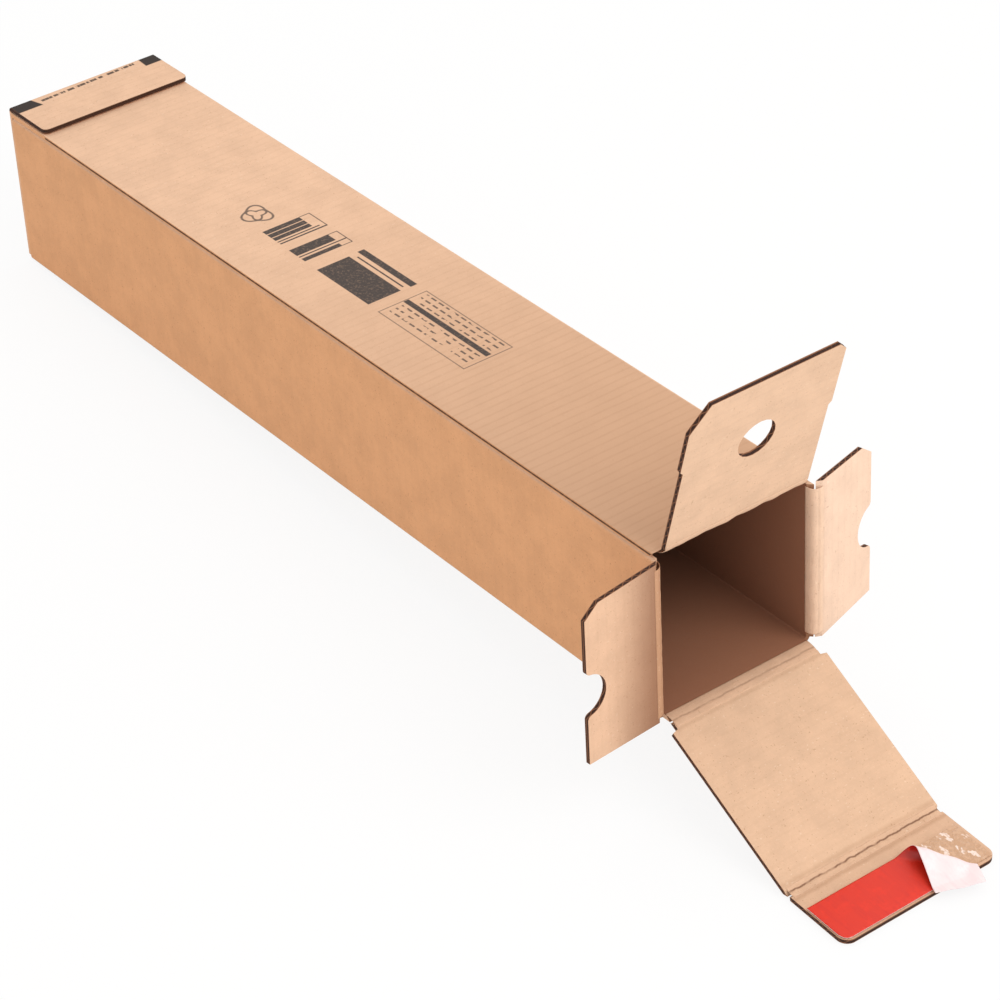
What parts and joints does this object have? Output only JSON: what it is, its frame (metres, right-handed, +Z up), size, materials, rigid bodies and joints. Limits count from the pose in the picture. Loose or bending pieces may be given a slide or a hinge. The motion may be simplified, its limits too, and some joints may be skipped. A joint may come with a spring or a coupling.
{
  "type": "tube box",
  "caption": "Long square corrugated board box for rolled sheets, mouth open: closed far end, inner flap with pull hole, notched side flaps, outer flap and sticky tongue with red cover strip",
  "frame": {"origin": "Centre of the box's footprint on the ground, as it lies with its mouth end propped up on the outer flap.", "axes": "+X along the tube towards the open mouth (the tube itself rises about 4 degrees that way), +Z up, Y across; the left side flap is at -Y."},
  "size_m": [0.853, 0.2252, 0.273],
  "materials": {
    "kraft_board": "matt kraft liner",
    "adhesive": "glossy, tacky",
    "cover_film": "smooth, siliconed, red"
  },
  "bodies": {
    "box": {"tube_body": "kraft_board", "far_adhesive_strip": "adhesive"},
    "inner_flap_body": {"inner_flap": "kraft_board"},
    "left_flap_body": {"left_side_flap": "kraft_board"},
    "right_flap_body": {"right_side_flap": "kraft_board"},
    "outer_flap_body": {"outer_flap": "kraft_board"},
    "tongue_body": {"closing_tongue": "kraft_board", "adhesive_strip": "adhesive", "cover_strip": "cover_film"}
  },
  "joints": [
    {"name": "inner_flap_fold", "type": "hinge", "parent": "box", "child": "inner_flap_body", "pos_m": [0.24826, 0.00068, 0.16471], "axis": [0, 1, 0], "range_deg": [-96, 164]},
    {"name": "left_flap_fold", "type": "hinge", "parent": "box", "child": "left_flap_body", "pos_m": [0.26017, -0.05652, 0.05108], "axis": [-0.0755, 0, 0.9971], "range_deg": [-84, 176]},
    {"name": "right_flap_fold", "type": "hinge", "parent": "box", "child": "right_flap_body", "pos_m": [0.26017, 0.05788, 0.05108], "axis": [0.0755, 0, -0.9971], "range_deg": [-63, 197]},
    {"name": "outer_flap_fold", "type": "hinge", "parent": "box", "child": "outer_flap_body", "pos_m": [0.26348, 0.00068, 0.05113], "axis": [0, -1, 0], "range_deg": [-140, 92]},
    {"name": "tongue_fold", "type": "hinge", "parent": "outer_flap_body", "child": "tongue_body", "pos_m": [0.37019, 0.00068, -0.00016], "axis": [0, -1, 0], "range_deg": [-35, 64]}
  ]
}
